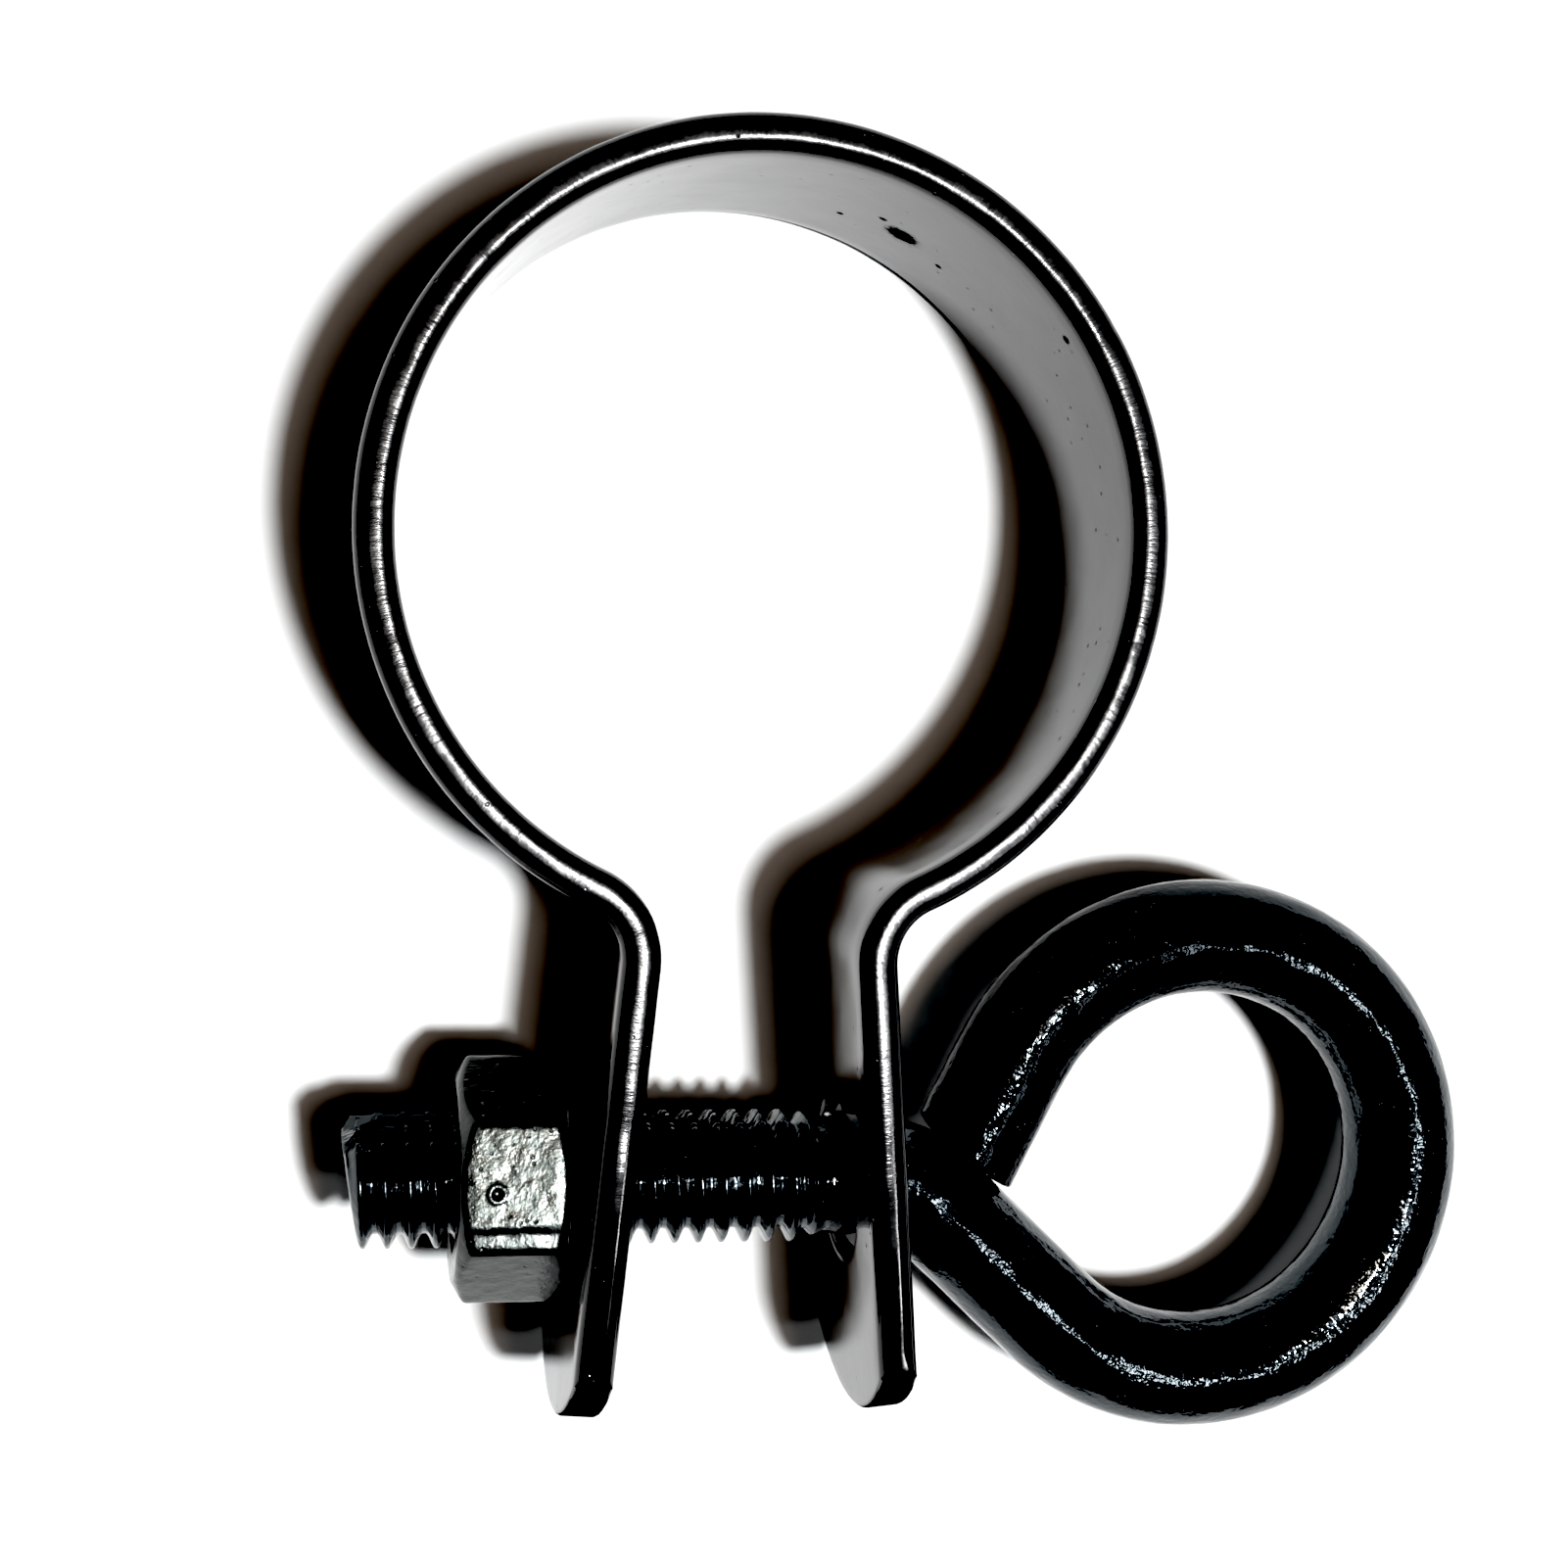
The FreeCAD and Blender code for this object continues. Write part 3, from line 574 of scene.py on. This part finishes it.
def wire_lumps(rows, flow, thread_count):
    """Hammered lumps, longer along the wire than round it; the thread's rows have none."""
    flat = flow.reshape(-1, 3)
    lumps = roughen(flat * (0.35, 1, 1), 2.4, 4) * 0.045 + roughen(flat * (0.5, 1, 1), 0.9, 5) * 0.02
    off_thread = smooth_step(rows[..., 0], thread_stop - 1, thread_stop + 2)
    lumps = lumps.reshape(off_thread.shape) * off_thread
    lumps[:thread_count] = 0
    return lumps


def make_eye_bolt():
    """One closed skin of rows: the sheared end, the thread, the wire and its cut end."""
    around = 128
    thread_rows = bolt_thread_rows(around)
    rows = np.concatenate([thread_rows, wire_rows(around)])
    middles = rows.mean(1)
    along = np.concatenate([[0], np.cumsum(np.linalg.norm(np.diff(middles, axis=0), axis=1))])
    turn = angles_round(around)
    flow = np.zeros_like(rows)
    flow[..., 0] = along[:, None]
    flow[..., 1] = wire_radius * np.cos(turn)
    flow[..., 2] = wire_radius * np.sin(turn)
    lumps = wire_lumps(rows, flow, len(thread_rows))
    outward = rows - middles[:, None, :]
    rows = rows + outward / wire_radius * lumps[..., None]
    points, faces, flow = skin(rows, flow)
    piece = make_piece("eye_bolt_forged", points, faces, flow)
    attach(piece, "bolt")
    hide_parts("eye_bolt")
    return piece


# ---------------------------------------------------------------- nut

def hexagon_radius(turn):
    """Radius of the nut's hexagon at an angle from +Y towards +Z, with paint-rounded corners."""
    sharp = 60
    total = np.zeros_like(turn)
    for side in range(6):
        facing = math.pi / 2 - nut_turn + side * math.pi / 3
        total += np.clip(np.cos(turn - facing), 0, None) ** sharp
    return nut_flats / 2 / total ** (1 / sharp)


def nut_rows(around):
    """Closed rows: out over the seat face, along the flats, in over the outer face, back through the bore."""
    face_steps = 11
    side_steps = 52
    bore_steps = 90
    sharp = 60
    turn = angles_round(around)
    seat, outer = nut_high.x, nut_low.x
    corner = nut_flats / 2 / math.cos(math.radians(30))
    face_radius = corner - nut_chamfer / math.tan(chamfer_angle)

    def bore_at(x):
        """Radius of the threaded bore, widened at its two mouths."""
        depth = min(seat - x, x - outer)
        return np.maximum(thread_surface(x, turn) + nut_thread_clearance, nut_mouth - depth)

    def side_at(x):
        """Radius of the flats, cut by the chamfers' cones near the two faces."""
        depth = min(seat - x, x - outer)
        cone = face_radius + depth / math.tan(chamfer_angle)
        return (hexagon_radius(turn) ** -sharp + cone ** -sharp) ** (-1 / sharp)

    def face_at(x):
        """Rings over a face, from the bore out to the flats."""
        shares = np.linspace(0, 1, face_steps + 1)[:-1]
        return [(x, bore_at(x) * (1 - share) + side_at(x) * share) for share in shares]

    rings = face_at(seat)
    rings += [(x, side_at(x)) for x in np.linspace(seat, outer, side_steps)]
    rings += face_at(outer)[::-1]
    rings += [(x, bore_at(x)) for x in np.linspace(outer, seat, bore_steps)[1:-1]]
    return np.array([np.stack([np.full(around, x), bolt_y + r * np.cos(turn), r * np.sin(turn)], axis=1)
                     for x, r in rings])


# The nut's front flat: the way it faces, and the way across it, at right angles to the bolt.
flat_facing = np.array([0.0, math.sin(nut_turn), math.cos(nut_turn)])
flat_across = np.cross(flat_facing, (1, 0, 0))


def bubble(points):
    """A burst paint bubble on the nut's front flat: a raised ring round a pit."""
    from_face = 2.15
    off_middle = 0.35
    ring_radius, ring_width, ring_height = 0.42, 0.13, 0.06
    pit_width, pit_depth = 0.25, 0.10
    middle = np.array([nut_low.x + from_face, bolt_y, 0]) + flat_facing * nut_flats / 2
    apart = points - middle + flat_across * off_middle
    away = np.linalg.norm(apart, axis=1)
    ring = np.exp(-((away - ring_radius) / ring_width) ** 2) * ring_height
    pit = -np.exp(-(away / pit_width) ** 2) * pit_depth
    return (ring + pit)[:, None] * flat_facing


def paint_run(points):
    """On the same flat the paint ends in a step, and below it the flat lies a little deeper."""
    step_start, step_end, step_depth = 2.1, 2.75, 0.11
    from_axis = points - (0, bolt_y, 0)
    on_flat = smooth_step(from_axis @ flat_facing, nut_flats / 2 - 0.25, nut_flats / 2 - 0.08)
    below_step = smooth_step(-(from_axis @ flat_across), step_start, step_end)
    return -(on_flat * below_step)[:, None] * step_depth * flat_facing


def make_nut():
    """The nut, with the paint's lumps, bubble and run on its outside."""
    bore_side, out_side = 5.2, 5.9
    plain, faces, _ = skin(nut_rows(288), closed=True)
    outward = plain - (0, bolt_y, 0)
    outward[:, 0] = 0
    distance = np.linalg.norm(outward, axis=1)
    lumps = roughen(plain, 0.9, 6) * 0.018 + roughen(plain, 2.5, 7) * 0.025
    lumps *= smooth_step(distance, bore_side, out_side)
    painted = plain + outward / distance[:, None] * lumps[:, None] + bubble(plain) + paint_run(plain)
    piece = make_piece("nut_painted", painted, faces, flow=plain)
    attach(piece, "nut")
    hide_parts("hex_nut")
    return piece


# ---------------------------------------------------------------- materials

class Nodes:
    """Builds a material's nodes in millimetres, from the flow coordinate of a mesh.

    stretch scales that coordinate for the noises that take the stretched output, such as streaks.
    """

    # A mix node has sockets for every kind of value: these numbers are its share and its colours.
    MIX_SHARE, MIX_DARK, MIX_LIGHT, MIX_RESULT = 0, 6, 7, 2

    def __init__(self, name, stretch=(1, 1, 1)):
        self.material = bpy.data.materials.new(name)
        self.material.use_nodes = True
        self.tree = self.material.node_tree
        self.shader = self.tree.nodes["Principled BSDF"]
        flow = self.add("ShaderNodeAttribute")
        flow.attribute_name = "flow"
        scaled = self.add("ShaderNodeVectorMath")
        scaled.operation = "MULTIPLY"
        scaled.inputs[1].default_value = stretch
        self.link(flow.outputs["Vector"], scaled.inputs[0])
        self.stretched = scaled.outputs[0]
        self.plain = flow.outputs["Vector"]

    def add(self, kind):
        return self.tree.nodes.new(kind)

    def link(self, source, target):
        self.tree.links.new(source, target)

    def feed(self, name, source):
        """Links a node's output to one of the shader's sockets."""
        self.link(source, self.shader.inputs[name])

    def noise(self, per_mm, detail=2.0, rough=0.5, where=None):
        """Noise about 0.5, with that many lumps in a millimetre."""
        node = self.add("ShaderNodeTexNoise")
        node.inputs["Scale"].default_value = per_mm
        node.inputs["Detail"].default_value = detail
        node.inputs["Roughness"].default_value = rough
        self.link(where or self.plain, node.inputs["Vector"])
        return node.outputs["Fac"]

    def spots(self, per_mm):
        """Distance to the nearest of scattered points, of which that many lie in a millimetre."""
        node = self.add("ShaderNodeTexVoronoi")
        node.inputs["Scale"].default_value = per_mm
        self.link(self.plain, node.inputs["Vector"])
        return node.outputs["Distance"]

    def remap(self, value, low, high, to_low, to_high):
        """A straight, clamped change of range."""
        node = self.add("ShaderNodeMapRange")
        node.inputs["From Min"].default_value = low
        node.inputs["From Max"].default_value = high
        node.inputs["To Min"].default_value = to_low
        node.inputs["To Max"].default_value = to_high
        self.link(value, node.inputs["Value"])
        return node.outputs["Result"]

    def calculate(self, operation, *values):
        node = self.add("ShaderNodeMath")
        node.operation = operation
        for value, socket in zip(values, node.inputs):
            self.link(value, socket)
        return node.outputs[0]

    def square_sum(self, first, second):
        return self.calculate("ADD", self.calculate("MULTIPLY", first, first),
                              self.calculate("MULTIPLY", second, second))

    def along(self, axis):
        """One coordinate of the flow: 0 runs along the strip or wire, 1 and 2 across it."""
        node = self.add("ShaderNodeSeparateXYZ")
        self.link(self.plain, node.inputs[0])
        return node.outputs[axis]

    def mix(self, share, dark, light):
        """A colour between two; each is a tuple or another node's output."""
        node = self.add("ShaderNodeMix")
        node.data_type = "RGBA"
        self.link(share, node.inputs[self.MIX_SHARE])
        for number, colour in ((self.MIX_DARK, dark), (self.MIX_LIGHT, light)):
            if isinstance(colour, tuple):
                node.inputs[number].default_value = (*colour, 1)
            else:
                self.link(colour, node.inputs[number])
        return node.outputs[self.MIX_RESULT]

    def set(self, **values):
        """Plain values of the shader's sockets: Coat_Weight=0.5 sets "Coat Weight"."""
        for name, value in values.items():
            self.shader.inputs[name.replace("_", " ")].default_value = value

    def bumps(self, layers):
        """Stacks (height, depth in millimetres) layers on the shader's normal."""
        normal = None
        for height, depth in layers:
            node = self.add("ShaderNodeBump")
            node.inputs["Strength"].default_value = 1.0
            node.inputs["Distance"].default_value = depth * MM
            self.link(height, node.inputs["Height"])
            if normal:
                self.link(normal, node.inputs["Normal"])
            normal = node.outputs["Normal"]
        self.link(normal, self.shader.inputs["Normal"])


def dust(nodes, colour, amount):
    """Rare pale specks of dust in the paint."""
    speck = nodes.remap(nodes.spots(2.2), 0.02, 0.09, 1, 0)
    patchy = nodes.remap(nodes.noise(0.5, 1), 0.56, 0.62, 0, amount)
    return nodes.mix(nodes.calculate("MULTIPLY", speck, patchy), colour, (0.30, 0.31, 0.32))


def ear_end_share(nodes):
    """1 on the cut round ends of the ears, 0 on the rest of the band."""
    end_centre = hole_at + (bolt_y - ear_tip_y - ear_end_radius) / math.cos(ear_lean)
    reach = 20
    fade_start, fade_end = ear_end_radius - 0.3, ear_end_radius - 0.1
    past = nodes.remap(nodes.calculate("ABSOLUTE", nodes.along(0)), end_centre, end_centre + reach, 0, reach)
    return nodes.remap(nodes.square_sum(past, nodes.along(1)), fade_start ** 2, fade_end ** 2, 0, 1)


def blemish(nodes, s, z, radius):
    """1 in a ragged dull spot in the paint, at a distance along the strip and a place across it."""
    ahead = nodes.remap(nodes.along(0), s - 2 * radius, s + 2 * radius, -2, 2)
    aside = nodes.remap(nodes.along(1), z - 2 * radius, z + 2 * radius, -2, 2)
    ragged = nodes.calculate("MULTIPLY", nodes.square_sum(ahead, aside), nodes.noise(2.5, 3, 0.7))
    return nodes.remap(ragged, 0.25, 0.6, 1, 0)


def band_paint():
    """Smooth gloss black, with a little orange peel, dust specks and worn, rough edges."""
    nodes = Nodes("black_gloss_paint", stretch=(1, 0.2, 0.2))
    shade = nodes.mix(nodes.noise(0.15, 3), (0.0035, 0.0035, 0.004), (0.009, 0.009, 0.010))
    nodes.feed("Base Color", dust(nodes, shade, 0.8))
    smooth = nodes.remap(nodes.noise(0.35, 4, 0.6), 0.35, 0.7, 0.06, 0.12)
    on_edge = nodes.remap(nodes.calculate("ABSOLUTE", nodes.along(1)), 8.7, 9.15, 0, 1)
    off_tip = nodes.remap(nodes.calculate("ABSOLUTE", nodes.along(0)), hole_at - 9, hole_at + 3, 1, 0)
    edge = nodes.calculate("MULTIPLY", on_edge, off_tip)
    worn = nodes.remap(nodes.noise(0.9, 4, 0.7), 0.3, 0.7, 0.08, 0.18)
    nodes.feed("Roughness", nodes.calculate("MULTIPLY_ADD", edge, worn, smooth))
    nodes.set(IOR=1.5)
    dull = ear_end_share(nodes)
    for s, z, radius in dull_spots:
        dull = nodes.calculate("MAXIMUM", dull, blemish(nodes, s, z, radius))
    nodes.feed("Specular IOR Level", nodes.remap(dull, 0, 1, 0.5, 0.0))
    orange_peel = nodes.noise(0.5, 2)
    grain = nodes.noise(3.0, 2)
    pits = nodes.remap(nodes.spots(0.7), 0.03, 0.10, 0, 1)
    shear_marks = nodes.calculate("MULTIPLY", nodes.noise(3.4, 3, 0.7, nodes.stretched), edge)
    nodes.bumps([(orange_peel, 0.010), (grain, 0.002), (pits, 0.03), (shear_marks, 0.032)])
    return nodes.material


def bolt_paint():
    """Gloss black over forged wire: hammered, with fine streaks, and dull on the returning arm."""
    dull_start, dull_end = 98, 110
    nodes = Nodes("black_paint_on_forging", stretch=(0.45, 1, 1))
    shade = nodes.mix(nodes.noise(0.4, 3), (0.003, 0.0035, 0.0045), (0.010, 0.012, 0.015))
    nodes.feed("Base Color", dust(nodes, shade, 1.0))
    nodes.feed("Roughness", nodes.remap(nodes.noise(0.9, 4, 0.6), 0.35, 0.7, 0.05, 0.11))
    nodes.feed("Specular IOR Level", nodes.remap(nodes.along(0), dull_start, dull_end, 0.5, 0.06))
    nodes.set(IOR=1.5, Specular_Tint=(0.80, 0.93, 1.0, 1))
    hammered = nodes.noise(1.0, 1, 0.5, nodes.stretched)
    streaks = nodes.noise(3.0, 1, 0.5)
    nodes.bumps([(hammered, 0.08), (streaks, 0.028)])
    return nodes.material


def nut_paint():
    """Thick, runny black paint on the nut: wrinkles and pits."""
    nodes = Nodes("black_paint_on_nut")
    shade = nodes.mix(nodes.noise(0.6, 3), (0.0035, 0.0035, 0.004), (0.012, 0.012, 0.013))
    nodes.feed("Base Color", dust(nodes, shade, 0.6))
    nodes.feed("Roughness", nodes.remap(nodes.noise(1.2, 4, 0.6), 0.35, 0.7, 0.12, 0.26))
    nodes.set(IOR=1.5, Specular_IOR_Level=0.36, Specular_Tint=(0.90, 1.0, 0.96, 1))
    wrinkles = nodes.noise(1.6, 5, 0.6)
    pits = nodes.remap(nodes.spots(1.3), 0.05, 0.18, 0, 1)
    grain = nodes.noise(6.0, 2)
    nodes.bumps([(wrinkles, 0.035), (pits, 0.03), (grain, 0.006)])
    return nodes.material


def floor_paper():
    """Plain pale paper."""
    material = bpy.data.materials.new("pale_paper")
    material.use_nodes = True
    shader = material.node_tree.nodes["Principled BSDF"]
    shader.inputs["Base Color"].default_value = (0.86, 0.86, 0.86, 1)
    shader.inputs["Roughness"].default_value = 0.9
    shader.inputs["Specular IOR Level"].default_value = 0.1
    return material


# ---------------------------------------------------------------- stage, light and camera

# Where the camera stands, in metres, how it is turned from looking straight down, in degrees, and its lens
# on a sensor of that width, both in millimetres.
camera_place = (-0.02547, -0.00720, 0.13528)
camera_tilt = (-3.378, -11.700, 1.905)
camera_lens = 52.84
camera_sensor = 36

lamp_height = 0.437
lamp_aim = (0, -0.01, 0)

# The backdrop's dome, and the far floor's sheet: a little above the floor, clear near the part and all pale
# from where its fade ends. It reaches through the dome, so that no edge of it shows.
backdrop_radius = 1.4
far_floor_radius = 1.48
far_floor_lift = 0.0002
far_fade_start = 0.09
far_fade_end = 0.26


def make_floor():
    """One large sheet of paper under the part."""
    half = 1.5
    low = cad_box[0].z
    mesh = bpy.data.meshes.new("floor")
    mesh.from_pydata([(-half, -half, low), (half, -half, low), (half, half, low), (-half, half, low)], [],
                     [(0, 1, 2, 3)])
    floor = bpy.data.objects.new("floor", mesh)
    scene.collection.objects.link(floor)
    floor.data.materials.append(floor_paper())


def only_for_camera(thing):
    """Takes a thing out of shadows and reflections."""
    thing.visible_diffuse = False
    thing.visible_glossy = False
    thing.visible_transmission = False
    thing.visible_shadow = False


def pale_glow(name):
    """A plain pale colour that no lamp changes; returns the material, its glow and its output node."""
    material = bpy.data.materials.new(name)
    material.use_nodes = True
    tree = material.node_tree
    tree.nodes.clear()
    glow = tree.nodes.new("ShaderNodeEmission")
    glow.inputs["Color"].default_value = (0.95, 0.95, 0.95, 1)
    output = tree.nodes.new("ShaderNodeOutputMaterial")
    tree.links.new(glow.outputs[0], output.inputs["Surface"])
    return material, glow, output


def make_backdrop():
    """A pale dome that only the camera sees, so that side views have a plain background."""
    bpy.ops.mesh.primitive_uv_sphere_add(segments=48, ring_count=24, radius=backdrop_radius)
    dome = bpy.context.object
    dome.name = "backdrop"
    dome.data.materials.append(pale_glow("pale_backdrop")[0])
    only_for_camera(dome)


def make_far_floor():
    """Far from the part the floor fades into the backdrop, again only for the camera."""
    bpy.ops.mesh.primitive_circle_add(vertices=96, radius=far_floor_radius, fill_type="NGON")
    sheet = bpy.context.object
    sheet.name = "far_floor"
    sheet.location.z = cad_box[0].z + far_floor_lift
    material, glow, output = pale_glow("pale_distance")
    tree = material.node_tree
    place = tree.nodes.new("ShaderNodeTexCoord")
    distance = tree.nodes.new("ShaderNodeVectorMath")
    distance.operation = "LENGTH"
    tree.links.new(place.outputs["Object"], distance.inputs[0])
    fade = tree.nodes.new("ShaderNodeMapRange")
    fade.interpolation_type = "SMOOTHSTEP"
    fade.inputs["From Min"].default_value = far_fade_start
    fade.inputs["From Max"].default_value = far_fade_end
    tree.links.new(distance.outputs["Value"], fade.inputs["Value"])
    mix = tree.nodes.new("ShaderNodeMixShader")
    clear = tree.nodes.new("ShaderNodeBsdfTransparent")
    tree.links.new(fade.outputs["Result"], mix.inputs["Fac"])
    tree.links.new(clear.outputs[0], mix.inputs[1])
    tree.links.new(glow.outputs[0], mix.inputs[2])
    tree.links.new(mix.outputs[0], output.inputs["Surface"])
    sheet.data.materials.append(material)
    only_for_camera(sheet)


def add_lamp(name, x, y, size, power, colour=(1, 1, 1)):
    """A round soft lamp over the part; its place and diameter are in metres, its power in watts."""
    place = Vector((x, y, lamp_height))
    data = bpy.data.lights.new(name, "AREA")
    data.shape = "DISK"
    data.size = size
    data.energy = power
    data.color = colour
    lamp = bpy.data.objects.new(name, data)
    lamp.location = place
    lamp.rotation_euler = (Vector(lamp_aim) - place).to_track_quat("-Z", "Y").to_euler()
    scene.collection.objects.link(lamp)


def light_scene():
    """A key lamp with two weaker ones near it, in a nearly dark room."""
    world = bpy.data.worlds.new("dim_room")
    world.use_nodes = True
    background = world.node_tree.nodes["Background"]
    background.inputs["Color"].default_value = (0.9, 0.95, 1.0, 1)
    background.inputs["Strength"].default_value = 0.01
    scene.world = world
    add_lamp("key", 0.089, -0.051, 0.045, 2.75, (0.96, 0.99, 1.0))
    add_lamp("weak", 0.056, -0.018, 0.06, 0.25, (1.0, 0.80, 0.66))
    add_lamp("glint", 0.190, -0.150, 0.05, 0.16)


def place_camera():
    data = bpy.data.cameras.new("camera")
    data.sensor_width = camera_sensor
    data.lens = camera_lens
    camera = bpy.data.objects.new("camera", data)
    camera.location = camera_place
    camera.rotation_mode = "XYZ"
    camera.rotation_euler = [math.radians(angle) for angle in camera_tilt]
    scene.collection.objects.link(camera)
    scene.camera = camera


def set_contrast():
    """The photograph is clipped at both ends, so its darkest and lightest tones are cut here too."""
    view = scene.view_settings
    view.view_transform = "Standard"
    view.use_curve_mapping = True
    view.curve_mapping.black_level = (0.03, 0.03, 0.03)
    view.curve_mapping.white_level = (0.9, 0.9, 0.9)
    view.curve_mapping.update()


# ---------------------------------------------------------------- the scene

band = make_band()
band.data.materials.append(band_paint())
eye_bolt = make_eye_bolt()
eye_bolt.data.materials.append(bolt_paint())
nut = make_nut()
nut.data.materials.append(nut_paint())
make_floor()
make_backdrop()
make_far_floor()
light_scene()
place_camera()
set_contrast()
